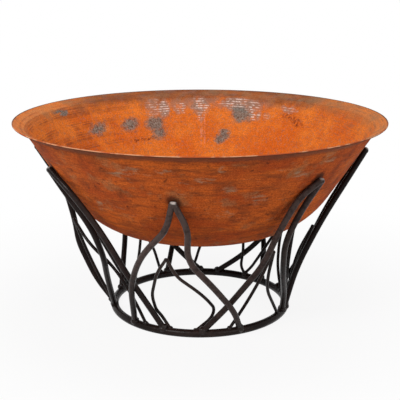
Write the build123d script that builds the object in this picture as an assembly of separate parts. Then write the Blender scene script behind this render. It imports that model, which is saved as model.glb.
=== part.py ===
from build123d import *
from math import cos, degrees, radians, sin, sqrt, tan
import os

# A fire bowl resting loosely in a welded stand of bent bars, with a log grate standing in the bowl.
# Lengths are millimetres and angles degrees. The floor is z = 0, the axis is Z and the front faces -Y.

# Bowl: spun sheet with a flared lip, a conical wall, a rounded knuckle and a flat floor
RIM_DIAMETER = 760.0
RIM_HEIGHT = 408.0
BOWL_DEPTH = 235.0
SHEET = 3.0
LIP_WIDTH = 23.5
LIP_SLOPE = 26.0
LIP_BEND_RADIUS = 12.0
WALL_SLOPE = 57.0
KNUCKLE_RADIUS = 190.0

# Stand: a round ring, tall loops that carry the bowl and thin loops between them
RING_DIAMETER = 366.0
RING_BAR = 16.0
RING_FLAT_DEPTH = 0.8
TALL_BAR = 12.0
THIN_BAR = 6.5
TIP_SWELL = 0.4
FOLD_SHARE = 0.18
FLARE_DEPTH = 57.0
CROSSING_GAP = 3.0
TUCKED_FOOT_GAP = 6.1
SEAT_CLEARANCE = 0.3
BEND_CLEARANCE = 2.0
TALL_WELD_THROAT = 3.0
THIN_WELD_THROAT = 2.2
WELD_REACH = 20.0
ARC_SHARE = 0.45

# Grate: square bars on two rails, on four legs that stand on the bowl's floor
GRATE_BAR = 12.0
GRATE_BAR_COUNT = 7
GRATE_PITCH = 54.0
GRATE_LEG_LENGTH = 50.0
GRATE_WALL_GAP = 25.0
GRATE_LEG_MARGIN = 5.0
GRATE_STAND_OFF = 0.3

# Places that follow from the bowl's sizes
lip_angle = radians(LIP_SLOPE)
wall_angle = radians(WALL_SLOPE)
rim_edge_height = RIM_HEIGHT - SHEET * cos(lip_angle)
lip_radius = RIM_DIAMETER / 2 - LIP_WIDTH
lip_height = rim_edge_height - LIP_WIDTH * tan(lip_angle)
floor_height = RIM_HEIGHT - BOWL_DEPTH
floor_corner_radius = lip_radius - (lip_height - floor_height) / tan(wall_angle)
flat_floor_radius = floor_corner_radius - KNUCKLE_RADIUS * tan(wall_angle / 2)

# Places that follow from the stand's sizes
ring_radius = RING_DIAMETER / 2
ring_height = RING_BAR / 2 - RING_FLAT_DEPTH
flare_height = RIM_HEIGHT - FLARE_DEPTH
tuck_angle = degrees((TALL_BAR / 2 + THIN_BAR / 2 + TUCKED_FOOT_GAP) / ring_radius)

# Layers that let the bars cross without touching, as distances out from the stand's flared cone
layer_step = TALL_BAR / 2 + CROSSING_GAP
outer_layer = layer_step
inner_layer = -layer_step
thin_layer = inner_layer - TALL_BAR / 2 - CROSSING_GAP - THIN_BAR / 2

# Feet that a thin loop's feet are tucked against, as azimuths from the front, positive to the right
FRONT_LEFT_FOOT = -22.0
FRONT_RIGHT_FOOT = 0.0

# Loops, each one bar folded over at its tip: the layer, the tip, then two legs.
# A leg is its bends from the tip down, and the azimuth of its foot on the ring.
# A tip or bend is its azimuth, its height as a percentage of the rise from the ring to the
# highest tips and, where it leaves its loop's layer, its own offset in layer steps.
TALL_LOOPS = {
    "front_loop": (
        outer_layer,
        (-9, 86),
        ([(-11.5, 72), (-24, 53), (-34, 31)], -46),
        ([(-4, 73), (-5, 52), (5, 36), (18, 16)], 26),
    ),
    "front_right_loop": (
        inner_layer,
        (43, 94),
        ([(36, 85), (32, 63), (30, 44), (14.5, 16)], FRONT_RIGHT_FOOT),
        ([(40, 76), (38, 57), (45, 36), (62, 14)], 69),
    ),
    "right_loop": (
        outer_layer,
        (79, 100),
        ([(79, 84, -0.6), (77, 57, -1.8), (74, 27, -1.9)], 75),
        ([(92, 81, 0.2), (100, 56, 0.7), (103, 30), (107, 14)], 111),
    ),
    "back_right_loop": (
        inner_layer,
        (128, 95),
        ([(125, 76), (121, 53), (112, 24)], 96),
        ([(130, 76), (131, 53), (137, 28), (150, 13)], 169),
    ),
    "back_loop": (
        outer_layer,
        (172, 94),
        ([(168, 74), (155, 53), (139, 25)], 131),
        ([(174, 75), (184, 55), (194, 28)], 205),
    ),
    "back_left_loop": (
        inner_layer,
        (216, 94),
        ([(215, 75), (213, 52), (203, 25), (192, 12)], 178),
        ([(219, 75), (223, 52), (230, 31), (241, 15)], 252),
    ),
    "left_loop": (
        outer_layer,
        (-88.5, 99),
        ([(-99, 80, -0.6), (-108, 56), (-115, 28), (-119, 12)], -121),
        ([(-88, 74, -1.8), (-89, 52, 0), (-90, 38, 1.8), (-90, 15, 1.9)], -87),
    ),
    "front_left_loop": (
        inner_layer,
        (-63, 94),
        ([(-60, 79), (-51, 63), (-52, 44), (-66, 21)], -79),
        ([(-53, 84, -0.6), (-45, 63), (-38, 34), (-31, 16)], FRONT_LEFT_FOOT),
    ),
}
THIN_LOOPS = {
    "front_thin_loop": (
        thin_layer,
        (-15.5, 49),
        ([(-22, 39), (-29, 22), (-29, 12), (-26, 8)], FRONT_LEFT_FOOT + tuck_angle),
        ([(-12, 38), (2, 25), (13, 10, -4)], FRONT_RIGHT_FOOT - tuck_angle),
    ),
    "front_right_thin_loop": (
        thin_layer,
        (36, 50),
        ([(34, 33), (29, 15)], 17),
        ([(38.5, 34), (43, 22)], 62),
    ),
    "right_thin_loop": (
        thin_layer,
        (88, 49),
        ([(84, 31)], 82),
        ([(93, 30)], 90),
    ),
    "back_right_thin_loop": (
        thin_layer,
        (124, 44),
        ([(121, 30), (112, 15)], 102),
        ([(128, 30), (134, 16), (142, 6, -0.2)], 148),
    ),
    "back_thin_loop": (
        thin_layer,
        (165, 47),
        ([(154, 34), (148, 21, -2.6), (147, 7, -2.5)], 143),
        ([(172, 34), (180, 18), (184, 7.5, -2.6)], 188),
    ),
    "back_left_thin_loop": (
        thin_layer,
        (219.5, 32),
        ([(214, 20)], 209),
        ([(225, 21)], 234),
    ),
    "front_left_thin_loop": (
        thin_layer,
        (-76, 58, -0.9),
        ([(-82, 41, 0), (-85, 20, 0.5)], -83),
        ([(-64, 47, -0.9), (-56, 34, -2.9), (-46, 17)], -35),
    ),
}


def around(azimuth, radius, height):
    """Point at an azimuth from the front, positive to the right."""
    turn = radians(azimuth)
    return Vector(radius * sin(turn), -radius * cos(turn), height)


def wall_radius(height):
    """Radius of the outside of the bowl's conical wall at a height."""
    return lip_radius - (lip_height - height) / tan(wall_angle)


def clear_radius(height, distance):
    """Radius of a point that lies at a distance outside the bowl's conical wall at a height."""
    return wall_radius(height) + distance / sin(wall_angle)


def seat_radius(height):
    """Radius of a tall loop's tip that just clears the bowl's wall at a height."""
    return clear_radius(height, TALL_BAR / 2 + TIP_SWELL + SEAT_CLEARANCE)


def rise(percent):
    """Height of a point given as a percentage of the rise from the ring to the highest tips."""
    return ring_height + (flare_height - ring_height) * percent / 100


def flare_radius(height):
    """Radius of the flared cone that the bars lie about, from the ring to the highest tips."""
    top_radius = seat_radius(flare_height)
    share = (height - ring_height) / (flare_height - ring_height)
    return ring_radius + (top_radius - ring_radius) * share


def bend_point(bend, layer, bar):
    """Point of a bend, in its loop's layer or at its own offset, and clear of the bowl's wall."""
    azimuth, percent, *own_steps = bend
    offset = own_steps[0] * layer_step if own_steps else layer
    height = rise(percent)
    least_radius = clear_radius(height, bar / 2 + BEND_CLEARANCE)
    return around(azimuth, max(flare_radius(height) + offset, least_radius), height)


def seated_tip(tip):
    """Point of a tall loop's tip, against the bowl's wall."""
    azimuth, percent = tip
    height = rise(percent)
    return around(azimuth, seat_radius(height), height)


def foot_point(azimuth):
    """Point of a foot on the ring's centreline."""
    return around(azimuth, ring_radius, ring_height)


def bend_radii(points):
    """Radii of the largest arcs that the runs beside each bend leave room for."""
    radii = []
    for before, corner, after in zip(points, points[1:], points[2:]):
        run_in = corner - before
        run_out = after - corner
        half_turn = radians(run_in.get_angle(run_out)) / 2
        shorter_run = min(run_in.length, run_out.length)
        radii.append(ARC_SHARE * shorter_run / tan(half_turn))
    return radii


def bent_bar(points, bar):
    """Round bar bent along straight runs joined by arcs."""
    path = FilletPolyline(*points, radius=bend_radii(points))
    section = Plane(origin=path @ 0, z_dir=path % 0) * Circle(bar / 2)
    return sweep(section, path=path)


def base_ring():
    """Round bar rolled into a ring, dressed flat underneath where it stands."""
    ring = Pos(0, 0, ring_height) * Torus(ring_radius, RING_BAR / 2)
    floor_side = RING_DIAMETER + 2 * RING_BAR
    below_floor = Pos(0, 0, -RING_BAR / 2) * Box(floor_side, floor_side, RING_BAR)
    return ring - below_floor


def loop(layer, tip_point, legs, bar, ring):
    """One bar folded at its tip, its two runs side by side there, with both feet coped to the ring."""
    sideways = Vector(-tip_point.Y, tip_point.X, 0).normalized() * bar * FOLD_SHARE
    folded = Part()
    for side, (bends, foot) in zip((-1, 1), legs):
        start = tip_point + sideways * side
        points = [start, *(bend_point(bend, layer, bar) for bend in bends), foot_point(foot)]
        folded += [Pos(start) * Sphere(bar / 2 + TIP_SWELL), bent_bar(points, bar)]
    return folded - ring


def tall_loop(layer, tip, *legs, ring):
    """Loop of the heavier bar, whose tip carries the bowl."""
    return loop(layer, seated_tip(tip), legs, TALL_BAR, ring)


def thin_loop(layer, tip, *legs, ring):
    """Loop of the lighter bar, which ends short of the bowl."""
    return loop(layer, bend_point(tip, layer, THIN_BAR), legs, THIN_BAR, ring)


def weld_ball(layer, bends, foot, bar, throat):
    """Ball of weld metal about a leg where it meets the ring."""
    centre = foot_point(foot)
    along_leg = (bend_point(bends[-1], layer, bar) - centre).normalized()
    seat = Plane(origin=centre + along_leg * RING_BAR / 2, z_dir=along_leg)
    return seat * Sphere(bar / 2 + throat)


def beside(foot, others):
    """Shapes, given with the azimuths of their feet, that stand within a weld's reach of a foot."""
    place = foot_point(foot)
    return [
        shape
        for other_foot, shape in others
        if other_foot != foot and (foot_point(other_foot) - place).length < WELD_REACH
    ]


def foot_welds(table, bar, throat, ring, loops, standing, welded):
    """Beads at the feet of a table's loops, fitted to the bars and the earlier welds beside them."""
    beads = []
    for name, (layer, tip, *legs) in table.items():
        for bends, foot in legs:
            ball = weld_ball(layer, bends, foot, bar, throat)
            bead = ball - [ring, loops[name]]
            neighbours = beside(foot, standing) + beside(foot, welded)
            if neighbours:
                bead -= neighbours
            welded.append((foot, ball))
            beads.append(bead)
    return Part() + beads


def offset_inwards(points):
    """The bowl's outer profile moved in by the sheet, with its corners mitred."""
    normals = []
    for start, end in zip(points, points[1:]):
        run = (end - start).normalized()
        normals.append(Vector(run.Z, 0, -run.X))
    inner = [points[0] + normals[0] * SHEET]
    for corner, before, after in zip(points[1:], normals, normals[1:]):
        inner.append(corner + (before + after) * (SHEET / (1 + before.dot(after))))
    inner.append(points[-1] + normals[-1] * SHEET)
    return inner


def fire_bowl():
    """Spun sheet bowl, as a revolved profile of even thickness."""
    outer_points = [
        Vector(RIM_DIAMETER / 2, 0, rim_edge_height),
        Vector(lip_radius, 0, lip_height),
        Vector(floor_corner_radius, 0, floor_height),
        Vector(0, 0, floor_height),
    ]
    inner_points = offset_inwards(outer_points)
    outer = FilletPolyline(*outer_points, radius=[LIP_BEND_RADIUS, KNUCKLE_RADIUS])
    inner = FilletPolyline(*inner_points, radius=[LIP_BEND_RADIUS + SHEET, KNUCKLE_RADIUS - SHEET])
    rim_edge = Line(outer_points[0], inner_points[0])
    centre_edge = Line(outer_points[-1], inner_points[-1])
    profile = make_face(outer.edges() + inner.edges() + rim_edge.edges() + centre_edge.edges())
    return revolve(profile, axis=Axis.Z)


def inside_radius(height_above_floor):
    """Radius of the inside of the bowl's knuckle at a height above the inside of its floor."""
    knuckle = KNUCKLE_RADIUS - SHEET
    return flat_floor_radius + sqrt(knuckle**2 - (knuckle - height_above_floor) ** 2)


def grate():
    """Grate bars laid across two rails, on four legs, as named solids."""
    leg_offset = flat_floor_radius / sqrt(2) - GRATE_BAR / 2 - GRATE_LEG_MARGIN
    leg_base = floor_height + SHEET + GRATE_STAND_OFF
    rail_base = leg_base + GRATE_LEG_LENGTH
    bar_base = rail_base + GRATE_BAR
    reach = inside_radius(GRATE_STAND_OFF + GRATE_LEG_LENGTH) - GRATE_WALL_GAP
    outermost = GRATE_PITCH * (GRATE_BAR_COUNT - 1) / 2
    standing = (Align.CENTER, Align.CENTER, Align.MIN)
    pieces = {}
    for number in range(GRATE_BAR_COUNT):
        across = number * GRATE_PITCH - outermost
        outer_side = abs(across) + GRATE_BAR / 2
        length = 2 * sqrt(reach**2 - outer_side**2)
        bar = Box(length, GRATE_BAR, GRATE_BAR, align=standing)
        pieces[f"grate_bar_{number + 1}"] = Pos(0, across, bar_base) * bar
    for side, sign in (("left", -1), ("right", 1)):
        rail = Box(GRATE_BAR, 2 * outermost + GRATE_BAR, GRATE_BAR, align=standing)
        pieces[f"grate_rail_{side}"] = Pos(sign * leg_offset, 0, rail_base) * rail
        for end, direction in (("front", -1), ("back", 1)):
            leg = Box(GRATE_BAR, GRATE_BAR, GRATE_LEG_LENGTH, align=standing)
            place = Pos(sign * leg_offset, direction * leg_offset, leg_base)
            pieces[f"grate_leg_{end}_{side}"] = place * leg
    return pieces


def stand():
    """Ring, loops and the welds at their feet, as named solids."""
    ring = base_ring()
    loops = {}
    for name, shape in TALL_LOOPS.items():
        loops[name] = tall_loop(*shape, ring=ring)
    for name, shape in THIN_LOOPS.items():
        loops[name] = thin_loop(*shape, ring=ring)
    tables = {**TALL_LOOPS, **THIN_LOOPS}
    standing = [(foot, loops[name]) for name, (_, _, *legs) in tables.items() for _, foot in legs]
    fitted_to = (ring, loops, standing, [])
    welds = {
        "tall_foot_welds": foot_welds(TALL_LOOPS, TALL_BAR, TALL_WELD_THROAT, *fitted_to),
        "thin_foot_welds": foot_welds(THIN_LOOPS, THIN_BAR, THIN_WELD_THROAT, *fitted_to),
    }
    return {"base_ring": ring, **loops, **welds}


os.makedirs("parts", exist_ok=True)
nodes = {**stand(), "fire_bowl": fire_bowl(), **grate()}
for name, shape in nodes.items():
    export_step(shape, f"parts/{name}.step")
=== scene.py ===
"""Dresses a rusted fire bowl, its dark bar stand and its log grate for the camera."""

import logging
import math
from collections.abc import Sequence
from dataclasses import dataclass
from enum import Enum
from typing import Any

import bmesh
import bpy
from mathutils import Matrix, Vector, noise


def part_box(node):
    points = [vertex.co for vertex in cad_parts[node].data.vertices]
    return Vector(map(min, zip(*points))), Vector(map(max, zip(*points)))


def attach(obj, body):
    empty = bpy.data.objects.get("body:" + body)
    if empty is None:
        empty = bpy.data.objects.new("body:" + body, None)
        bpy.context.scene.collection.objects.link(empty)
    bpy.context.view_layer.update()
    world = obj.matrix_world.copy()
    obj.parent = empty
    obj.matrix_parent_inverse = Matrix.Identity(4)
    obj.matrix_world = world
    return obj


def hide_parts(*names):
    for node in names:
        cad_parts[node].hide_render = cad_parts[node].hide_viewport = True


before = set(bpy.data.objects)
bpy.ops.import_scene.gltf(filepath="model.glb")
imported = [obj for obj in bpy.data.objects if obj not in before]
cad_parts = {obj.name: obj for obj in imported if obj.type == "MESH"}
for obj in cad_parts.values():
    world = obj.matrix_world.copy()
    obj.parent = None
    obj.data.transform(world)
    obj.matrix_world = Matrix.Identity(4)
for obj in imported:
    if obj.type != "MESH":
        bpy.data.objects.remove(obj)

LOG = logging.getLogger("fire_pit")
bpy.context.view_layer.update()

Colour = tuple[float, float, float, float]
Triple = tuple[float, float, float]
Span = tuple[float, float]
Socket = bpy.types.NodeSocket
Value = Socket | float | tuple[float, ...]

WALL_TOP_RADIUS = 0.3565
WALL_TOP_HEIGHT = 0.3938
WALL_SLOPE = math.radians(57)
WHITE: Colour = (1, 1, 1, 1)


class Body(Enum):
    """Bodies of the frame that pieces ride on."""

    STAND = "stand"
    BOWL = "bowl"
    GRATE = "grate"


class Slot(Enum):
    """Names of three material slots."""

    RUST = "rusted_steel"
    WELD = "weld_paint"
    GRATE = "grate_steel"


@dataclass(frozen=True)
class Patch:
    """One ragged patch: its centre, half sizes and raggedness in metres, and how strong it is."""

    centre: Triple
    size: Triple
    ragged: float = 0.02
    strength: float = 1.0


@dataclass(frozen=True)
class Specks:
    """Fine specks: their scale, and what the dark and the light ones multiply a colour by."""

    scale: float
    dark: Colour
    light: Colour


class Graph:
    """Adds and links the nodes of one material, world or node group."""

    def __init__(self, tree: bpy.types.NodeTree) -> None:
        """Starts on an emptied tree.

        Args:
            tree: The node tree to fill.
        """
        self.tree = tree
        tree.nodes.clear()

    def feed(self, socket: Socket, value: Value) -> None:
        """Links an output to a socket, or sets the socket to a constant.

        Args:
            socket: The input to feed.
            value: An output socket, or a constant.
        """
        if isinstance(value, Socket):
            self.tree.links.new(value, socket)
        else:
            socket.default_value = value

    def add(self, kind: str, inputs: dict[Any, Value] | None = None, **settings: Any) -> bpy.types.Node:
        """Adds a node.

        Args:
            kind: Blender's name of the node type.
            inputs: Values or outputs by the name or number of the input.
            **settings: Properties of the node, set before its inputs.

        Returns:
            The new node.
        """
        node = self.tree.nodes.new(kind)
        for name, value in settings.items():
            setattr(node, name, value)
        for name, value in (inputs or {}).items():
            self.feed(node.inputs[name], value)
        return node

    def maths(self, operation: str, *values: Value) -> Socket:
        """Output of a Math node on one or two values."""
        inputs = dict(enumerate(values))
        return self.add("ShaderNodeMath", inputs, operation=operation).outputs[0]

    def times(self, first: Value, second: Value) -> Socket:
        """Product of two values."""
        return self.maths("MULTIPLY", first, second)

    def plus(self, first: Value, second: Value) -> Socket:
        """Sum of two values."""
        return self.maths("ADD", first, second)

    def vector(self, operation: str, *values: Value) -> Socket:
        """Vector output of a Vector Math node."""
        inputs = dict(enumerate(values))
        return self.add("ShaderNodeVectorMath", inputs, operation=operation).outputs["Vector"]

    def length(self, value: Value) -> Socket:
        """Length of a vector."""
        return self.add("ShaderNodeVectorMath", {0: value}, operation="LENGTH").outputs["Value"]

    def mix(self, factor: Value, first: Value, second: Value, blend: str = "MIX") -> Socket:
        """Colour mixed from a first to a second by a factor."""
        inputs = {0: factor, 6: first, 7: second}
        return self.add("ShaderNodeMix", inputs, data_type="RGBA", blend_type=blend).outputs[2]

    def tint(self, colour: Value, other: Value, mask: Value, share: Value) -> Socket:
        """Colour with a share of another where a mask is."""
        return self.mix(self.times(mask, share), colour, other)

    def grain(self, vector: Value, scale: Value, detail: float = 4.0, rough: float = 0.55) -> Socket:
        """Value of a noise texture."""
        inputs = {"Vector": vector, "Scale": scale, "Detail": detail, "Roughness": rough}
        return self.add("ShaderNodeTexNoise", inputs).outputs["Fac"]

    def band(self, value: Value, low: Value, high: Value, start: float = 0.0, end: float = 1.0) -> Socket:
        """Value taken smoothly from start at low to end at high."""
        inputs = {0: value, 1: low, 2: high, 3: start, 4: end}
        return self.add("ShaderNodeMapRange", inputs, interpolation_type="SMOOTHSTEP").outputs[0]

    def use(self, group: bpy.types.NodeTree, inputs: dict[str, Value]) -> Socket:
        """First output of a node group placed with its own values."""
        return self.add("ShaderNodeGroup", inputs, node_tree=group).outputs[0]


class Effects:
    """Shader node groups that several finishes share."""

    place = {"Vector": ("NodeSocketVector", (0, 0, 0))}
    limits = {"Low": ("NodeSocketFloat", 0.4), "High": ("NodeSocketFloat", 0.6)}
    ragged_scale = 55.0

    def __init__(self) -> None:
        """Builds each group once."""
        self.patch = self._patch()
        self.streaks = self._streaks()
        self.mottle = self._mottle()

    @staticmethod
    def _start(name: str, inputs: dict[str, tuple[str, Any]]) -> tuple[Graph, Any, Socket]:
        """Makes an empty group with its sockets.

        Args:
            name: Name of the group.
            inputs: Socket type and default by input name.

        Returns:
            The graph, the group's inputs, and the mask that it puts out.
        """
        tree = bpy.data.node_groups.new(name, "ShaderNodeTree")
        for socket_name, (kind, default) in inputs.items():
            socket = tree.interface.new_socket(socket_name, in_out="INPUT", socket_type=kind)
            socket.default_value = default
        tree.interface.new_socket("Mask", in_out="OUTPUT", socket_type="NodeSocketFloat")
        graph = Graph(tree)
        given = graph.add("NodeGroupInput").outputs
        return graph, given, graph.add("NodeGroupOutput").inputs["Mask"]

    def _patch(self) -> bpy.types.NodeTree:
        """Builds the mask of one ragged patch about a centre.

        Returns:
            The group.
        """
        inputs = self.place | {
            "Centre": ("NodeSocketVector", (0, 0, 0)),
            "Size": ("NodeSocketVector", (1, 1, 1)),
            "Ragged": ("NodeSocketFloat", 0.02),
            "Core": ("NodeSocketFloat", 0.5),
            "Reach": ("NodeSocketFloat", 1.1),
        }
        graph, given, mask = self._start("Ragged patch", inputs)
        texture = {"Vector": given["Vector"], "Scale": self.ragged_scale, "Detail": 6.0, "Roughness": 0.7}
        coarse = graph.add("ShaderNodeTexNoise", texture).outputs["Color"]
        swing = graph.vector("SUBTRACT", coarse, (0.5, 0.5, 0.5))
        scaling = {0: swing, "Scale": given["Ragged"]}
        tear = graph.add("ShaderNodeVectorMath", scaling, operation="SCALE").outputs["Vector"]
        offset = graph.vector("SUBTRACT", given["Vector"], given["Centre"])
        torn = graph.vector("ADD", offset, tear)
        distance = graph.length(graph.vector("DIVIDE", torn, given["Size"]))
        graph.feed(mask, graph.band(distance, given["Reach"], given["Core"]))
        return graph.tree

    def _streaks(self) -> bpy.types.NodeTree:
        """Builds the mask of level streaks, as a spinning tool leaves round a bowl.

        Returns:
            The group.
        """
        scales = {"Along": ("NodeSocketFloat", 5.0), "Across": ("NodeSocketFloat", 100.0)}
        graph, given, mask = self._start("Level streaks", self.place | scales | self.limits)
        sides = {0: given["Along"], 1: given["Along"], 2: given["Across"]}
        scale = graph.add("ShaderNodeCombineXYZ", sides).outputs[0]
        stretched = graph.vector("MULTIPLY", given["Vector"], scale)
        value = graph.grain(stretched, scale=1.0, detail=5.0, rough=0.6)
        graph.feed(mask, graph.band(value, given["Low"], given["High"]))
        return graph.tree

    def _mottle(self) -> bpy.types.NodeTree:
        """Builds the mask of blotches of one size.

        Returns:
            The group.
        """
        scales = {"Scale": ("NodeSocketFloat", 20.0)}
        graph, given, mask = self._start("Mottle", self.place | scales | self.limits)
        value = graph.grain(given["Vector"], given["Scale"], detail=6.0, rough=0.6)
        graph.feed(mask, graph.band(value, given["Low"], given["High"]))
        return graph.tree


class Coat(Graph):
    """Graph of one material, with the place on the piece and the shared effects at hand.

    The place is also kept in parts: across, positive to the right, depth, negative at the front,
    and height over the floor.
    """

    def __init__(self, name: str, effects: Effects) -> None:
        """Starts a new material.

        Args:
            name: Name of the material.
            effects: The shared node groups.
        """
        self.material = bpy.data.materials.new(name)
        self.material.use_nodes = True
        super().__init__(self.material.node_tree)
        self.effects = effects
        self.place = self.add("ShaderNodeTexCoord").outputs["Object"]
        self.across, self.depth, self.height = self.add("ShaderNodeSeparateXYZ", {0: self.place}).outputs

    def radius(self) -> Socket:
        """Distance from the bowl's axis."""
        return self.length(self.vector("MULTIPLY", self.place, (1, 1, 0)))

    def mottle(self, scale: float, low: float, high: float) -> Socket:
        """Mask of blotches of one size."""
        inputs = {"Vector": self.place, "Scale": scale, "Low": low, "High": high}
        return self.use(self.effects.mottle, inputs)

    def streaks(self, along: float, across: float, low: float, high: float) -> Socket:
        """Mask of level streaks."""
        inputs = {"Vector": self.place, "Along": along, "Across": across, "Low": low, "High": high}
        return self.use(self.effects.streaks, inputs)

    def patch(self, patch: Patch, core: float = 0.5, reach: float = 1.1) -> Socket:
        """Mask of one ragged patch.

        Args:
            patch: The patch.
            core: Share of its half sizes within which the mask is full.
            reach: Share of its half sizes at which the mask ends.

        Returns:
            The mask, as strong as the patch says.
        """
        inputs = {"Vector": self.place, "Centre": patch.centre, "Size": patch.size}
        inputs |= {"Ragged": patch.ragged, "Core": core, "Reach": reach}
        return self.times(self.use(self.effects.patch, inputs), patch.strength)

    def patches(self, patches: Sequence[Patch], core: float = 0.5, reach: float = 1.1) -> Socket:
        """Mask of several ragged patches together.

        Args:
            patches: The patches.
            core: Core of each, as for one patch.
            reach: Reach of each, as for one patch.

        Returns:
            The mask, which follows the strongest patch at each point.
        """
        mask = self.patch(patches[0], core, reach)
        for patch in patches[1:]:
            mask = self.maths("MAXIMUM", mask, self.patch(patch, core, reach))
        return mask

    def dab(
        self, colour: Value, other: Colour, patches: Sequence[Patch], texture: Socket, share: float
    ) -> Value:
        """Lays a colour over ragged patches, one after another.

        Args:
            colour: The colour below.
            other: The colour to lay.
            patches: Where it goes.
            texture: Mask that breaks it up.
            share: How much of it covers.

        Returns:
            The colour with the patches.
        """
        for patch in patches:
            colour = self.tint(colour, other, self.times(self.patch(patch), texture), share)
        return colour

    def speckle(self, colour: Value, specks: Specks) -> tuple[Socket, Socket]:
        """Multiplies a colour by fine dark and light specks.

        Args:
            colour: The colour below.
            specks: The specks.

        Returns:
            The speckled colour, and the specks' grain.
        """
        fine = self.grain(self.place, specks.scale, detail=4.0, rough=0.75)
        factor = self.mix(self.band(fine, 0.3, 0.7), specks.dark, specks.light)
        return self.mix(1.0, colour, factor, "MULTIPLY"), fine

    def shade(
        self, colour: Value, roughness: Value, relief: Socket, gloss: float,
        bump: float = 0.5, depth: float = 0.0008,
    ) -> bpy.types.Material:
        """Ends the material in a bumped Principled shader.

        Args:
            colour: Base colour.
            roughness: Roughness.
            relief: Height that the bump follows.
            gloss: Specular level.
            bump: Strength of the bump.
            depth: Depth of the bump in metres.

        Returns:
            The finished material.
        """
        bumps = {"Height": relief, "Strength": bump, "Distance": depth}
        normal = self.add("ShaderNodeBump", bumps).outputs[0]
        inputs = {"Base Color": colour, "Roughness": roughness, "Normal": normal}
        shader = self.add("ShaderNodeBsdfPrincipled", inputs)
        shader.inputs["Specular IOR Level"].default_value = gloss
        self.add("ShaderNodeOutputMaterial", {"Surface": shader.outputs[0]})
        return self.material


def srgb(red: int, green: int, blue: int) -> Colour:
    """Linear colour of an 8-bit display colour.

    Args:
        red: Red from 0 to 255.
        green: Green from 0 to 255.
        blue: Blue from 0 to 255.

    Returns:
        The linear colour with full alpha.
    """
    def linear(channel: int) -> float:
        """Linear value of one channel."""
        share = channel / 255
        return share / 12.92 if share <= 0.04045 else ((share + 0.055) / 1.055) ** 2.4

    return (linear(red), linear(green), linear(blue), 1.0)


def on_wall(azimuth: float, height: float, out: float = 0.0) -> Triple:
    """Point on the outside of the bowl's wall, or level with it and further out.

    Args:
        azimuth: Degrees from the front, positive to the right.
        height: Height in metres.
        out: How far outside the wall, in metres.

    Returns:
        The point in metres.
    """
    radius = WALL_TOP_RADIUS - (WALL_TOP_HEIGHT - height) / math.tan(WALL_SLOPE) + out
    turn = math.radians(azimuth)
    return (radius * math.sin(turn), -radius * math.cos(turn), height)


# Azimuth in degrees and height in metres where the tips of the tall loops meet the wall.
TIP_PLACES = (
    (-9, 0.306), (43, 0.334), (79, 0.353), (128, 0.337),
    (172, 0.334), (216, 0.334), (-88.5, 0.351), (-63, 0.334),
)
# Bare mill scale inside the bowl: the back, then the near side and the sides.
SCALE_PATCHES = (
    Patch((-0.304, 0.19, 0.385), (0.0085, 0.2, 0.0065), 0.014, 1.2),
    Patch((-0.312, 0.18, 0.391), (0.012, 0.2, 0.0045), 0.016, 0.9),
    Patch((-0.234, 0.22, 0.341), (0.025, 0.2, 0.017), 0.035, 0.9),
    Patch((-0.164, 0.273, 0.34), (0.024, 0.2, 0.019), 0.025),
    Patch((-0.107, 0.291, 0.338), (0.027, 0.2, 0.022), 0.03, 1.05),
    Patch((-0.096, 0.285, 0.318), (0.023, 0.2, 0.02), 0.035, 0.95),
    Patch((0.098, 0.313, 0.357), (0.03, 0.2, 0.022), 0.03, 1.15),
    Patch((0.058, 0.292, 0.312), (0.018, 0.2, 0.016), 0.03, 0.95),
    Patch((0.048, 0.288, 0.3), (0.015, 0.2, 0.015), 0.035, 0.95),
    Patch((0.14, -0.29, 0.349), (0.032, 0.2, 0.012), 0.035, 0.95),
    Patch((-0.19, -0.247, 0.331), (0.013, 0.2, 0.012), 0.03, 0.75),
    Patch((-0.02, -0.286, 0.306), (0.02, 0.2, 0.017), 0.035, 0.85),
    Patch((0.277, -0.11, 0.319), (0.2, 0.015, 0.013), 0.03),
    Patch((-0.285, -0.06, 0.306), (0.2, 0.017, 0.011), 0.03),
)
# Brown stains inside the bowl.
STAINS = (
    Patch((0.224, 0.236, 0.351), (0.015, 0.2, 0.013), 0.03),
    Patch((0.206, 0.25, 0.362), (0.016, 0.2, 0.008), 0.03),
    Patch((-0.135, 0.27, 0.307), (0.03, 0.2, 0.004), 0.02),
)
# Rows of pale streaks below the back of the lip, and the haze that joins them.
STREAK_ZONES = (
    Patch((-0.113, 0.325, 0.372), (0.018, 0.2, 0.022), 0.04, 0.55),
    Patch((-0.086, 0.33, 0.369), (0.014, 0.2, 0.021), 0.014),
    Patch((-0.048, 0.333, 0.369), (0.016, 0.2, 0.014), 0.02, 0.75),
    Patch((0.0, 0.337, 0.375), (0.026, 0.2, 0.019), 0.02, 1.15),
    Patch((0.002, 0.33, 0.353), (0.01, 0.2, 0.013), 0.01, 0.7),
    Patch((0.098, 0.33, 0.378), (0.056, 0.2, 0.016), 0.025),
    Patch((0.13, 0.32, 0.358), (0.015, 0.2, 0.014), 0.015),
    Patch((0.157, 0.31, 0.357), (0.009, 0.2, 0.011), 0.03, 0.4),
    Patch((0.208, 0.287, 0.376), (0.02, 0.2, 0.008), 0.03, 0.55),
)
VEIL = Patch((0.03, 0.335, 0.38), (0.18, 0.2, 0.012), 0.03, 0.6)
# The faint upright seam at the back.
SEAMS = (
    Patch((0.003, 0.3, 0.325), (0.0035, 0.2, 0.04), 0.002),
    Patch((0.011, 0.3, 0.32), (0.0025, 0.2, 0.045), 0.002),
)
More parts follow.
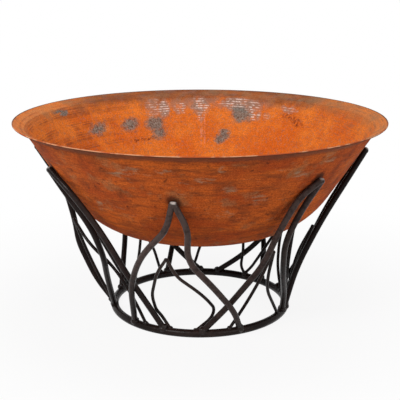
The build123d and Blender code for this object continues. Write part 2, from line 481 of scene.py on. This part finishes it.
# Pale smudges on the front of the outside.
SMUDGES = (
    Patch((-0.121, -0.319, 0.371), (0.02, 0.2, 0.007), 0.025),
    Patch((-0.06, -0.337, 0.371), (0.022, 0.2, 0.005), 0.025),
    Patch((0.037, -0.346, 0.377), (0.009, 0.2, 0.007), 0.02),
    Patch((0.009, -0.331, 0.356), (0.02, 0.2, 0.008), 0.03),
    Patch((0.107, -0.28, 0.306), (0.018, 0.2, 0.012), 0.03),
    Patch((0.045, -0.277, 0.278), (0.02, 0.2, 0.008), 0.03),
    Patch((0.178, -0.276, 0.352), (0.016, 0.2, 0.01), 0.03),
    Patch((-0.187, -0.21, 0.278), (0.01, 0.2, 0.014), 0.02),
    Patch((0.234, -0.252, 0.373), (0.016, 0.2, 0.006), 0.02),
    Patch((-0.14, -0.302, 0.358), (0.024, 0.2, 0.01), 0.04),
    Patch((0.052, -0.313, 0.333), (0.016, 0.2, 0.008), 0.03),
)


@dataclass(frozen=True)
class InsideRust:
    """Bright rust of the bowl's inside, with grey patches of mill scale. Spans are in metres."""

    effects: Effects
    orange: Colour = srgb(226, 122, 40)
    deep: Colour = srgb(213, 99, 22)
    ruddy: Colour = srgb(182, 80, 36)
    brown: Colour = srgb(102, 62, 40)
    slate: Colour = srgb(98, 78, 68)
    tan: Colour = srgb(196, 124, 72)
    scale_dark: Colour = srgb(46, 54, 52)
    scale_grey: Colour = srgb(120, 126, 118)
    haze: Colour = srgb(150, 116, 98)
    pale: Colour = srgb(236, 216, 204)
    olive: Colour = srgb(122, 102, 76)
    stain: Colour = srgb(116, 48, 22)
    edge_dark: Colour = srgb(74, 48, 38)
    edge_highlight: Colour = srgb(216, 150, 110)
    specks: Specks = Specks(420.0, (0.66, 0.6, 0.56, 1), (1.22, 1.26, 1.32, 1))
    lip_start: Span = (0.396, 0.426)
    lip_ragged: float = 0.05
    lip_sides: Span = (0.24, 0.35)
    lip_right: Span = (0.2, 0.36)
    left_lines: Span = (-0.1, -0.28)
    right_lines: Span = (0.22, 0.33)
    row_pitch: float = 0.0052
    row_sway: float = 4.0
    scale_core: float = 0.0
    scale_reach: float = 1.45
    scale_gain: float = 1.15
    scale_fray: float = 1.5
    rim_front: Span = (-0.02, -0.16)
    rim_start: Span = (0.3758, 0.3778)
    rim_fade: float = 0.0009
    rust_rough: float = 0.86
    scale_rough: float = 0.6
    gloss: float = 0.15

    def build(self) -> bpy.types.Material:
        """Makes the material.

        Returns:
            The new material.
        """
        coat = Coat("inside_rust", self.effects)
        lines = coat.streaks(along=1.2, across=300.0, low=0.46, high=0.64)
        sway = coat.times(coat.grain(coat.place, scale=32.0, detail=3.0), self.row_sway)
        turn = coat.times(coat.height, math.tau / self.row_pitch)
        rows = coat.band(coat.maths("SINE", coat.plus(turn, sway)), -0.4, 0.8)
        colour = self._ground(coat)
        colour = self._spun(coat, lines, rows, colour)
        colour = self._streaked(coat, rows, colour)
        colour, bare = self._patched(coat, colour)
        colour, fine = coat.speckle(colour, self.specks)
        colour = self._edged(coat, colour)
        relief = coat.plus(coat.times(lines, 0.45), coat.times(fine, 0.7))
        relief = coat.maths("SUBTRACT", relief, coat.times(bare, 0.4))
        roughness = coat.band(bare, 0.0, 1.0, self.rust_rough, self.scale_rough)
        return coat.shade(colour, roughness, relief, self.gloss)

    def _ground(self, coat: Coat) -> Socket:
        """Mottles the orange, and turns it grey-brown at the back of the lip and tan at its sides.

        Args:
            coat: Graph of the material.

        Returns:
            The ground colour.
        """
        colour = coat.mix(coat.mottle(scale=11.0, low=0.36, high=0.66), self.orange, self.deep)
        small = coat.mottle(scale=70.0, low=0.48, high=0.7)
        colour = coat.tint(colour, self.ruddy, small, share=0.4)
        dust = coat.mottle(scale=190.0, low=0.5, high=0.68)
        colour = coat.tint(colour, self.haze, dust, share=0.5)
        aside = coat.band(coat.maths("ABSOLUTE", coat.across), *self.lip_sides)
        greyed = coat.mix(coat.mottle(scale=42.0, low=0.44, high=0.62), self.brown, self.slate)
        lip = coat.mix(aside, greyed, self.tan)
        lip = coat.mix(coat.band(coat.across, *self.lip_right, end=0.3), lip, self.brown)
        worn = coat.streaks(along=13.0, across=110.0, low=0.42, high=0.62)
        lip = coat.tint(lip, self.orange, worn, coat.band(aside, 0.0, 1.0, start=0.22, end=0.5))
        smear = coat.mottle(scale=17.0, low=0.5, high=0.64)
        lip = coat.tint(lip, self.olive, smear, share=0.5)
        cloud = coat.grain(coat.place, scale=24.0, detail=5.0, rough=0.6)
        lip_edge = coat.plus(coat.height, coat.times(cloud, self.lip_ragged))
        return coat.tint(colour, lip, coat.band(lip_edge, *self.lip_start), share=0.86)

    def _spun(self, coat: Coat, lines: Socket, rows: Socket, colour: Value) -> Socket:
        """Darkens the spinning lines, most on the left of the bowl, and olive on its right.

        Args:
            coat: Graph of the material.
            lines: Mask of the spinning lines.
            rows: Mask of the rows that the spinning tool leaves.
            colour: The colour below.

        Returns:
            The colour with its lines.
        """
        left = coat.band(coat.across, *self.left_lines, start=0.12, end=0.62)
        right = coat.band(coat.across, *self.right_lines, end=0.36)
        broken = coat.mottle(scale=22.0, low=0.36, high=0.6)
        ridged = coat.times(coat.times(rows, left), broken)
        colour = coat.tint(colour, self.ruddy, ridged, share=0.55)
        striped = coat.times(lines, broken)
        colour = coat.tint(colour, self.olive, striped, right)
        return coat.tint(colour, self.brown, striped, left)

    def _streaked(self, coat: Coat, rows: Socket, colour: Value) -> Value:
        """Adds a haze and pale streaks below the back of the lip, and the faint upright seam.

        Args:
            coat: Graph of the material.
            rows: Mask of the rows that the spinning tool leaves.
            colour: The colour below.

        Returns:
            The colour with its streaks.
        """
        zone = coat.patches(STREAK_ZONES)
        cloudy = coat.mottle(scale=48.0, low=0.3, high=0.56)
        veil = coat.maths("MAXIMUM", coat.maths("SQRT", zone), coat.patch(VEIL))
        colour = coat.tint(colour, self.haze, coat.times(veil, cloudy), share=0.95)
        dashes = coat.streaks(along=110.0, across=170.0, low=0.42, high=0.58)
        columns = coat.streaks(along=62.0, across=14.0, low=0.32, high=0.5)
        dashes = coat.times(rows, coat.times(dashes, columns))
        colour = coat.tint(colour, self.pale, coat.times(dashes, zone), share=0.9)
        broken = coat.mottle(scale=120.0, low=0.4, high=0.6)
        return coat.dab(colour, self.pale, SEAMS, broken, share=0.14)

    def _patched(self, coat: Coat, colour: Value) -> tuple[Value, Socket]:
        """Adds the grey patches and the brown stains.

        Args:
            coat: Graph of the material.
            colour: The colour below.

        Returns:
            The colour, and the mask of the grey patches.
        """
        bare = coat.patches(SCALE_PATCHES, self.scale_core, self.scale_reach)
        grit = coat.grain(coat.place, scale=150.0, detail=5.0, rough=0.8)
        frayed = coat.plus(coat.times(bare, self.scale_gain), coat.times(grit, self.scale_fray))
        bare = coat.band(frayed, 0.98, 1.72)
        speck = coat.grain(coat.place, scale=210.0, detail=4.0, rough=0.8)
        grey = coat.mix(coat.band(speck, 0.36, 0.62), self.scale_dark, self.scale_grey)
        colour = coat.tint(colour, grey, bare, share=0.84)
        colour = coat.dab(colour, self.stain, STAINS, coat.band(grit, 0.42, 0.6), share=0.95)
        return colour, bare

    def _edged(self, coat: Coat, colour: Value) -> Socket:
        """Colours the cut edge of the rim: a painted highlight, broken by wear, at the front, and dark
        elsewhere.

        Args:
            coat: Graph of the material.
            colour: The colour below.

        Returns:
            The colour with its edge.
        """
        front = coat.band(coat.depth, *self.rim_front)
        start = coat.band(front, 0.0, 1.0, *self.rim_start)
        cut = coat.band(coat.radius(), start, coat.plus(start, self.rim_fade))
        chipped = coat.mottle(scale=36.0, low=0.42, high=0.56)
        # Painted highlight: the top of the cut edge turns pale at the front, broken by wear.
        worn = coat.mix(chipped, self.ruddy, self.edge_highlight)
        return coat.tint(colour, coat.mix(front, self.edge_dark, worn), cut, share=0.85)


@dataclass(frozen=True)
class OutsideRust:
    """Darker weathered rust of the bowl's outside. Spans and sizes are in metres."""

    effects: Effects
    rust: Colour = srgb(198, 94, 33)
    red: Colour = srgb(172, 73, 26)
    bright: Colour = srgb(220, 108, 36)
    dark: Colour = srgb(108, 56, 30)
    olive: Colour = srgb(152, 116, 78)
    pale: Colour = srgb(166, 138, 108)
    # Dark specks, and the painted contact shade round the tips.
    soot_and_contact_shade: Colour = srgb(50, 28, 20)
    # Painted shade: the dark band on the underside of the lip.
    lip: Colour = srgb(98, 56, 38)
    edge_dark: Colour = srgb(70, 44, 34)
    specks: Specks = Specks(380.0, (0.6, 0.55, 0.52, 1), (1.24, 1.26, 1.3, 1))
    lip_start: Span = (0.394, 0.402)
    lip_ragged: float = 0.012
    rim_start: Span = (0.3776, 0.3786)
    contact_shade_size: Triple = (0.017, 0.017, 0.021)
    contact_shade_ragged: float = 0.012
    roughness: float = 0.82
    gloss: float = 0.12

    def build(self) -> bpy.types.Material:
        """Makes the material.

        Returns:
            The new material.
        """
        coat = Coat("outside_rust", self.effects)
        colour, dark = self._ground(coat)
        colour = self._smudged(coat, colour)
        ragged = coat.times(coat.grain(coat.place, scale=40.0), self.lip_ragged)
        lip_edge = coat.plus(coat.height, ragged)
        # Painted shade: the outside turns dark above the lip's start, on the lip's down-facing underside.
        colour = coat.tint(colour, self.lip, coat.band(lip_edge, *self.lip_start), share=0.7)
        colour, fine = coat.speckle(colour, self.specks)
        # Painted shade: the down-facing underside of the rim's cut edge is dark.
        cut = coat.band(coat.radius(), *self.rim_start)
        colour = coat.tint(colour, self.edge_dark, cut, share=0.85)
        relief = coat.plus(coat.times(dark, 0.4), fine)
        return coat.shade(colour, self.roughness, relief, self.gloss)

    def _ground(self, coat: Coat) -> tuple[Socket, Socket]:
        """Mottles the rust and draws its level streaks.

        Args:
            coat: Graph of the material.

        Returns:
            The colour, and the mask of the dark streaks.
        """
        colour = coat.mix(coat.mottle(scale=14.0, low=0.36, high=0.64), self.rust, self.red)
        glow = coat.streaks(along=7.0, across=40.0, low=0.5, high=0.7)
        colour = coat.tint(colour, self.bright, glow, share=0.6)
        dark = coat.streaks(along=19.0, across=90.0, low=0.5, high=0.72)
        colour = coat.tint(colour, self.dark, dark, share=0.6)
        blotch = coat.mottle(scale=27.0, low=0.5, high=0.7)
        colour = coat.tint(colour, self.dark, blotch, share=0.58)
        thin = coat.streaks(along=30.0, across=300.0, low=0.46, high=0.66)
        return coat.tint(colour, self.dark, thin, share=0.42), dark

    def _smudged(self, coat: Coat, colour: Value) -> Socket:
        """Adds smudges, pale scrapes, dark specks, and painted contact shade where the loops' tips meet
        the wall.

        Args:
            coat: Graph of the material.
            colour: The colour below.

        Returns:
            The colour with its marks.
        """
        smudge = coat.mottle(scale=21.0, low=0.54, high=0.68)
        colour = coat.tint(colour, self.olive, smudge, share=0.42)
        scrape = coat.streaks(along=18.0, across=150.0, low=0.62, high=0.72)
        grit = coat.grain(coat.place, scale=240.0, detail=4.0, rough=0.8)
        scrape = coat.times(scrape, coat.band(grit, 0.4, 0.56))
        colour = coat.tint(colour, self.pale, scrape, share=0.4)
        wiped = coat.streaks(along=40.0, across=190.0, low=0.4, high=0.64)
        colour = coat.dab(colour, self.pale, SMUDGES, wiped, share=0.6)
        specks = coat.mottle(scale=95.0, low=0.61, high=0.7)
        colour = coat.tint(colour, self.soot_and_contact_shade, specks, share=0.75)
        # Painted shade: dark patches on the wall round each loop's tip, where the bars touch it.
        marks = [Patch(on_wall(*mark), self.contact_shade_size, self.contact_shade_ragged) for mark in TIP_PLACES]
        return coat.tint(colour, self.soot_and_contact_shade, coat.patches(marks), share=0.8)


@dataclass(frozen=True)
class BarPaint:
    """Satin brown-black paint over rough bar, with painted light that turns it lighter towards the front
    and a painted glint on each tip.
    """

    effects: Effects
    name: str
    paint: Colour = srgb(26, 18, 16)
    # Painted light: the lighter colour of the front bars, where the light falls.
    front_lit: Colour = srgb(72, 58, 54)
    brown: Colour = srgb(62, 47, 42)
    # Painted highlight: the near-white glint on top of each tip.
    bright: Colour = srgb(206, 198, 192)
    front_lit_depth: Span = (-0.15, -0.27)
    glint_rise: float = 0.004
    glint_out: float = 0.0095
    glint_size: Triple = (0.0085, 0.0085, 0.0055)
    glint_ragged: float = 0.007
    smooth: float = 0.15
    rough: float = 0.37
    gloss: float = 0.09
    lumps: float = 0.5
    lump_depth: float = 0.001

    def build(self) -> bpy.types.Material:
        """Makes the material.

        Returns:
            The new material.
        """
        coat = Coat(self.name, self.effects)
        # Painted light: the paint turns lighter towards the front, where the light falls, and stays dark
        # at the back, in the bowl's shade.
        colour = coat.mix(coat.band(coat.depth, *self.front_lit_depth), self.paint, self.front_lit)
        worn = coat.mottle(scale=38.0, low=0.5, high=0.72)
        colour = coat.tint(colour, self.brown, worn, share=0.5)
        chipped = coat.mottle(scale=105.0, low=0.46, high=0.64)
        colour = coat.tint(colour, self.paint, chipped, share=0.6)
        # Painted highlight: a near-white glint on the top of each loop's tip.
        colour = coat.tint(colour, self.bright, coat.patches(self._glints()), share=0.8)
        coarse = coat.grain(coat.place, scale=120.0, detail=3.0)
        fine = coat.grain(coat.place, scale=600.0, detail=2.0, rough=0.7)
        relief = coat.plus(coarse, coat.times(fine, 0.4))
        roughness = coat.band(fine, 0.3, 0.7, self.smooth, self.rough)
        return coat.shade(colour, roughness, relief, self.gloss, self.lumps, self.lump_depth)

    def _glints(self) -> list[Patch]:
        """Patches of painted glint, one on each tip."""
        tips = [on_wall(azimuth, height + self.glint_rise, self.glint_out) for azimuth, height in TIP_PLACES]
        return [Patch(tip, self.glint_size, self.glint_ragged) for tip in tips]


@dataclass(frozen=True)
class GrateBlack:
    """Matt black bar that heat has scaled and rusted."""

    effects: Effects
    black: Colour = srgb(44, 39, 36)
    ash: Colour = srgb(98, 90, 84)
    rust: Colour = srgb(124, 62, 32)
    specks: Specks = Specks(420.0, (0.62, 0.6, 0.58, 1), (1.2, 1.22, 1.24, 1))
    black_rough: float = 0.58
    rust_rough: float = 0.85
    gloss: float = 0.3

    def build(self) -> bpy.types.Material:
        """Makes the material.

        Returns:
            The new material.
        """
        coat = Coat("grate_black", self.effects)
        rusty = coat.mottle(scale=30.0, low=0.46, high=0.66)
        colour = coat.tint(self.black, self.rust, rusty, share=0.75)
        ashy = coat.mottle(scale=75.0, low=0.56, high=0.72)
        colour = coat.tint(colour, self.ash, ashy, share=0.45)
        colour, fine = coat.speckle(colour, self.specks)
        relief = coat.plus(fine, coat.times(rusty, 0.6))
        roughness = coat.band(rusty, 0.0, 1.0, self.black_rough, self.rust_rough)
        return coat.shade(colour, roughness, relief, self.gloss)


def new_piece(
    name: str, mesh: bmesh.types.BMesh, materials: list[bpy.types.Material], body: Body
) -> bpy.types.Object:
    """Makes a piece of a finished mesh, smooth, and rides it on a body.

    Args:
        name: Name of the piece.
        mesh: The bmesh, which is freed.
        materials: Materials by slot number.
        body: Body that carries the piece.

    Returns:
        The new object.
    """
    data = bpy.data.meshes.new(name)
    for face in mesh.faces:
        face.smooth = True
    mesh.to_mesh(data)
    mesh.free()
    for material in materials:
        data.materials.append(material)
    piece = bpy.data.objects.new(name, data)
    bpy.context.scene.collection.objects.link(piece)
    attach(piece, body.value)
    LOG.info("%s: %d faces on %s", name, len(data.polygons), body.value)
    return piece


def repaint(node: bpy.types.Object, material: bpy.types.Material) -> None:
    """Gives a CAD node one material in every slot.

    Args:
        node: The node's object.
        material: The material.
    """
    for slot in node.material_slots:
        slot.material = material
    LOG.info("%s: %s", node.name, material.name)


def rounded(corners: list[Vector], radii: list[float], steps: int) -> list[Vector]:
    """Points of a flat line whose inner corners are rounded to arcs.

    Args:
        corners: Corners in the XZ plane.
        radii: Radius of each inner corner.
        steps: Runs in each arc.

    Returns:
        The line's points.
    """
    line = [corners[0]]
    for before, corner, after, radius in zip(corners, corners[1:], corners[2:], radii):
        inward = (before - corner).normalized()
        outward = (after - corner).normalized()
        half = inward.angle(outward) / 2
        centre = corner + (inward + outward).normalized() * radius / math.sin(half)
        first = corner + inward * radius / math.tan(half) - centre
        turn = math.pi - 2 * half
        axis = inward.cross(outward)
        for step in range(steps + 1):
            line.append(centre + Matrix.Rotation(-turn * step / steps, 3, axis) @ first)
    return line + [corners[-1]]


@dataclass
class FireBowl:
    """Spun bowl: its sizes in metres, which repeat those of the solid it stands for."""

    effects: Effects
    lip_width: float = 0.0235
    lip_slope: float = math.radians(26)
    lip_bend: float = 0.012
    wall_slope: float = WALL_SLOPE
    knuckle: float = 0.19
    sheet: float = 0.003
    turns: int = 256
    arc_steps: int = 14
    rim_steps: int = 6
    merge: float = 1e-6

    def outer_corners(self) -> list[Vector]:
        """Finds the corners of the outside.

        Returns:
            The corners, from the middle of the floor to the rim.
        """
        low, high = (Vector(corner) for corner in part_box("fire_bowl"))
        rim_radius = (high.x - low.x) / 2
        rim = Vector((rim_radius, 0, high.z - self.sheet * math.cos(self.lip_slope)))
        lip = rim - Vector((self.lip_width, 0, self.lip_width * math.tan(self.lip_slope)))
        floor_radius = lip.x - (lip.z - low.z) / math.tan(self.wall_slope)
        return [Vector((0, 0, low.z)), Vector((floor_radius, 0, low.z)), lip, rim]

    def inner_corners(self, outer: list[Vector]) -> list[Vector]:
        """Finds the corners of the inside, a sheet's thickness within the outside.

        Args:
            outer: Corners of the outside.

        Returns:
            The corners, from the middle of the floor to the rim.
        """
        runs = [(end - start).normalized() for start, end in zip(outer, outer[1:])]
        normals = [Vector((-run.z, 0, run.x)) for run in runs]
        inner = [outer[0] + normals[0] * self.sheet]
        for corner, first, second in zip(outer[1:], normals, normals[1:]):
            inner.append(corner + (first + second) * self.sheet / (1 + first.dot(second)))
        return inner + [outer[-1] + normals[-1] * self.sheet]

    def profile(self) -> list[Vector]:
        """Draws the whole section, with a rounded cut edge at the rim.

        Returns:
            Points from the outside of the floor, round the rim, to the inside of the floor.
        """
        outer = self.outer_corners()
        inner = self.inner_corners(outer)
        outside = rounded(outer, [self.knuckle, self.lip_bend], self.arc_steps)
        inside = rounded(inner, [self.knuckle - self.sheet, self.lip_bend + self.sheet], self.arc_steps)
        pull_back = (outer[-2] - outer[-1]).normalized() * self.sheet / 2
        centre = (outer[-1] + inner[-1]) / 2 + pull_back
        start = outer[-1] + pull_back - centre
        turns = [-math.pi * step / self.rim_steps for step in range(self.rim_steps + 1)]
        rim = [centre + Matrix.Rotation(turn, 3, "Y") @ start for turn in turns]
        return outside[:-1] + rim + inside[-2::-1]

    def build(self) -> None:
        """Spins the section into the bowl and dresses it."""
        mesh = bmesh.new()
        verts = [mesh.verts.new(point) for point in self.profile()]
        edges = [mesh.edges.new(pair) for pair in zip(verts, verts[1:])]
        bmesh.ops.spin(
            mesh, geom=verts + edges, cent=(0, 0, 0), axis=(0, 0, 1), angle=math.tau,
            steps=self.turns, use_merge=True, use_normal_flip=False,
        )
        bmesh.ops.remove_doubles(mesh, verts=mesh.verts, dist=self.merge)
        bmesh.ops.recalc_face_normals(mesh, faces=mesh.faces)
        for face in mesh.faces:
            face.material_index = int(face.normal.z > 0)
        materials = [OutsideRust(self.effects).build(), InsideRust(self.effects).build()]
        bowl = new_piece("spun_fire_bowl", mesh, materials, Body.BOWL)
        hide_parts("fire_bowl")


def lumps_of(node: bpy.types.Object, merge: float = 1e-5) -> list[tuple[Vector, Vector]]:
    """Lowest and highest corners of each separate lump of a CAD node.

    Args:
        node: The node's object, which is left as it is.
        merge: Distance within which vertices are one, in metres.

    Returns:
        One pair of corners for each lump, in the order of the mesh.
    """
    mesh = bmesh.new()
    mesh.from_mesh(node.data)
    bmesh.ops.remove_doubles(mesh, verts=mesh.verts, dist=merge)
    boxes = []
    left = set(mesh.verts)
    for first in mesh.verts:
        if first not in left:
            continue
        left.remove(first)
        lump = [first]
        for vert in lump:
            near = {edge.other_vert(vert) for edge in vert.link_edges} & left
            left -= near
            lump.extend(near)
        low = Vector([min(vert.co[axis] for vert in lump) for axis in range(3)])
        high = Vector([max(vert.co[axis] for vert in lump) for axis in range(3)])
        boxes.append((low, high))
    mesh.free()
    return boxes


@dataclass
class BarStand:
    """Ring and loops of painted bar, with lumpy weld beads at the loops' feet."""

    effects: Effects
    bead_nodes: tuple[str, ...] = ("tall_foot_welds", "thin_foot_welds")
    bead_detail: int = 4
    bead_lumps: float = 0.6
    bead_gloss: float = 0.16
    lump_size: float = 0.006
    lump: float = 0.16
    ripples: int = 13
    ripple: float = 0.03

    def build(self) -> None:
        """Paints the bars and makes the weld beads."""
        paint = BarPaint(self.effects, "bar_paint").build()
        for name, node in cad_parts.items():
            if name == "base_ring" or name.endswith("_loop"):
                repaint(node, paint)
        finish = BarPaint(self.effects, "weld_paint", lumps=self.bead_lumps, gloss=self.bead_gloss)
        weld_paint = finish.build()
        for name in self.bead_nodes:
            self._beads(name, weld_paint)

    def _beads(self, name: str, paint: bpy.types.Material) -> None:
        """Makes one piece of the lumpy beads that stand for a weld node.

        Args:
            name: Name of the weld node.
            paint: The beads' material.
        """
        mesh = bmesh.new()
        for low, high in lumps_of(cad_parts[name]):
            radius = (high.x - low.x + high.y - low.y) / 4
            centre = Vector(((low.x + high.x) / 2, (low.y + high.y) / 2, high.z - radius))
            shape = Matrix.Translation(centre)
            made = bmesh.ops.create_icosphere(
                mesh, subdivisions=self.bead_detail, radius=radius, matrix=shape
            )
            for vert in made["verts"]:
                self._roughen(vert, centre)
        piece = new_piece(name.replace("_welds", "_weld_beads"), mesh, [paint], Body.STAND)
        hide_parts(name)

    def _roughen(self, vert: bmesh.types.BMVert, centre: Vector) -> None:
        """Moves a bead's vertex in or out, as lumps and as ripples round the leg.

        Args:
            vert: The vertex.
            centre: Middle of the bead.
        """
        spoke = vert.co - centre
        swell = self.lump * noise.noise(vert.co / self.lump_size)
        swell += self.ripple * math.sin(self.ripples * math.atan2(spoke.y, spoke.x))
        vert.co = centre + spoke * (1 + swell)


@dataclass
class LogGrate:
    """Square bars on two rails and four legs, with tack welds and heat-worn black faces."""

    effects: Effects
    edge_round: float = 0.0012
    cuts: int = 24
    warp: float = 0.00066
    warp_length: float = 0.09
    pitting: float = 0.000275
    pitting_length: float = 0.011
    tack: float = 0.0042
    tack_shape: Triple = (0.8, 1.5, 0.7)
    tack_detail: int = 3
    tack_lump: float = 0.35
    tack_lump_size: float = 0.004

    def build(self) -> None:
        """Makes the bars, rails, legs and tacks."""
        black = GrateBlack(self.effects).build()
        names = [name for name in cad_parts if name.startswith("grate_")]
        for name in names:
            self._bar(name, black)
        bars = [name for name in names if "bar" in name]
        rails = [name for name in names if "rail" in name]
        self._tacks(bars, rails, black)

    def _bar(self, name: str, black: bpy.types.Material) -> None:
        """Makes one bar with rounded edges and a slight warp, in place of a CAD bar.

        Args:
            name: Name of the CAD bar.
            black: The bar's material.
        """
        low, high = (Vector(corner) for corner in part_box(name))
        size = high - low
        middle = (low + high) / 2
        long_axis = max(range(3), key=lambda axis: size[axis])
        along = Vector([float(axis == long_axis) for axis in range(3)])
        mesh = bmesh.new()
        shape = Matrix.Translation(middle) @ Matrix.Diagonal((*size, 1))
        bmesh.ops.create_cube(mesh, size=1, matrix=shape)
        bmesh.ops.bevel(
            mesh, geom=mesh.edges[:], offset=self.edge_round, segments=2, profile=0.5,
            affect="EDGES", material=-1,
        )
        for cut in range(1, self.cuts):
            point = middle.copy()
            point[long_axis] = low[long_axis] + size[long_axis] * cut / self.cuts
            everything = mesh.verts[:] + mesh.edges[:] + mesh.faces[:]
            bmesh.ops.bisect_plane(mesh, geom=everything, plane_co=point, plane_no=along)
        for vert in mesh.verts:
            vert.co += noise.noise_vector(vert.co / self.warp_length) * self.warp
            vert.co += noise.noise_vector(vert.co / self.pitting_length) * self.pitting
        bmesh.ops.recalc_face_normals(mesh, faces=mesh.faces)
        piece = new_piece(f"worn_{name}", mesh, [black], Body.GRATE)
        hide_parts(name)

    def _tacks(self, bars: list[str], rails: list[str], black: bpy.types.Material) -> None:
        """Makes the tack welds where the bars cross the rails.

        Args:
            bars: Names of the bars.
            rails: Names of the rails.
            black: The tacks' material.
        """
        mesh = bmesh.new()
        for rail in rails:
            rail_low, rail_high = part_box(rail)
            for bar in bars:
                bar_low, bar_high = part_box(bar)
                along = (bar_low[1] + bar_high[1]) / 2
                for side in (rail_low[0], rail_high[0]):
                    self._tack(mesh, Vector((side, along, rail_high[2])))
        new_piece("grate_tack_welds", mesh, [black], Body.GRATE)

    def _tack(self, mesh: bmesh.types.BMesh, place: Vector) -> None:
        """Adds one lumpy tack weld.

        Args:
            mesh: The bmesh that takes it.
            place: Its middle.
        """
        shape = Matrix.Translation(place) @ Matrix.Diagonal((*self.tack_shape, 1))
        made = bmesh.ops.create_icosphere(
            mesh, subdivisions=self.tack_detail, radius=self.tack, matrix=shape
        )
        for vert in made["verts"]:
            swell = self.tack_lump * noise.noise(vert.co / self.tack_lump_size)
            vert.co += (vert.co - place) * swell


@dataclass(frozen=True)
class Lamp:
    """One soft square lamp: its place and side in metres, and its power in watts."""

    name: str
    place: Triple
    side: float
    power: float


@dataclass
class Studio:
    """White floor and backdrop, soft lamps and the photograph's camera."""

    camera_place: Triple = (0.0, -1.9, 0.7447)
    camera_pitch: float = math.radians(90 - 15.14)
    lens: float = 84.4
    sensor: float = 36.0
    floor_half: float = 40.0
    floor_colour: Colour = (0.72, 0.72, 0.72, 1)
    floor_white: float = 0.9
    shadow_reach: Span = (0.3, 0.95)
    backdrop: float = 1.0
    soft_light: float = 0.2
    lamp_aim: Triple = (0, 0, 0.25)
    lamps: tuple[Lamp, ...] = (
        Lamp("key", (-1.5, -1.8, 1.9), 1.0, 52.0),
        Lamp("top", (0.3, 0.4, 2.6), 1.8, 33.0),
        Lamp("fill", (1.7, -1.7, 1.0), 1.4, 13.0),
    )

    def build(self) -> None:
        """Adds the camera, floor, world and lamps."""
        self._camera()
        self._floor()
        self._world()
        for lamp in self.lamps:
            self._lamp(lamp)

    def _camera(self) -> None:
        """Adds the camera at the photograph's viewing angle."""
        data = bpy.data.cameras.new("camera")
        data.lens = self.lens
        data.sensor_width = self.sensor
        camera = bpy.data.objects.new("camera", data)
        camera.location = self.camera_place
        camera.rotation_euler = (self.camera_pitch, 0, 0)
        bpy.context.scene.collection.objects.link(camera)
        bpy.context.scene.camera = camera

    def _floor(self) -> None:
        """Adds a pale floor that stays white to the camera but keeps a soft shadow."""
        mesh = bmesh.new()
        bmesh.ops.create_grid(mesh, x_segments=1, y_segments=1, size=self.floor_half)
        data = bpy.data.meshes.new("floor")
        mesh.to_mesh(data)
        mesh.free()
        floor = bpy.data.objects.new("floor", data)
        bpy.context.scene.collection.objects.link(floor)
        material = bpy.data.materials.new("floor")
        material.use_nodes = True
        graph = Graph(material.node_tree)
        matt = graph.add("ShaderNodeBsdfDiffuse", {"Color": self.floor_colour}).outputs[0]
        white = graph.add("ShaderNodeEmission", {"Color": WHITE, "Strength": self.backdrop}).outputs[0]
        distance = graph.length(graph.add("ShaderNodeTexCoord").outputs["Object"])
        whiteness = graph.band(distance, *self.shadow_reach, self.floor_white, 1.0)
        share = graph.times(self._seen(graph), whiteness)
        mixed = graph.add("ShaderNodeMixShader", {0: share, 1: matt, 2: white}).outputs[0]
        graph.add("ShaderNodeOutputMaterial", {"Surface": mixed})
        data.materials.append(material)

    @staticmethod
    def _seen(graph: Graph) -> Socket:
        """Finds the rays that show the backdrop: from the camera, mirrored or through glass.

        Args:
            graph: Graph of the floor or the world.

        Returns:
            The rays' mask.
        """
        path = graph.add("ShaderNodeLightPath").outputs
        seen = graph.maths("MAXIMUM", path["Is Camera Ray"], path["Is Glossy Ray"])
        return graph.maths("MAXIMUM", seen, path["Is Transmission Ray"])

    def _world(self) -> None:
        """Gives the world a soft light and a white backdrop."""
        world = bpy.data.worlds.new("world")
        world.use_nodes = True
        bpy.context.scene.world = world
        graph = Graph(world.node_tree)
        soft = graph.add("ShaderNodeBackground", {"Color": WHITE, "Strength": self.soft_light}).outputs[0]
        white = graph.add("ShaderNodeBackground", {"Color": WHITE, "Strength": self.backdrop}).outputs[0]
        mixed = graph.add("ShaderNodeMixShader", {0: self._seen(graph), 1: soft, 2: white}).outputs[0]
        graph.add("ShaderNodeOutputWorld", {"Surface": mixed})

    def _lamp(self, lamp: Lamp) -> None:
        """Adds a lamp aimed at the bowl.

        Args:
            lamp: The lamp.
        """
        data = bpy.data.lights.new(lamp.name, "AREA")
        data.size = lamp.side
        data.energy = lamp.power
        light = bpy.data.objects.new(lamp.name, data)
        light.location = lamp.place
        aim = Vector(self.lamp_aim) - Vector(lamp.place)
        light.rotation_euler = aim.to_track_quat("-Z", "Y").to_euler()
        bpy.context.scene.collection.objects.link(light)


def main() -> None:
    """Builds the studio and the three sub-assemblies in order."""
    logging.basicConfig(level=logging.INFO, format="%(name)s %(message)s")
    bpy.context.scene.view_settings.view_transform = "Standard"
    effects = Effects()
    Studio().build()
    FireBowl(effects).build()
    BarStand(effects).build()
    LogGrate(effects).build()


if __name__ == "__main__":
    main()
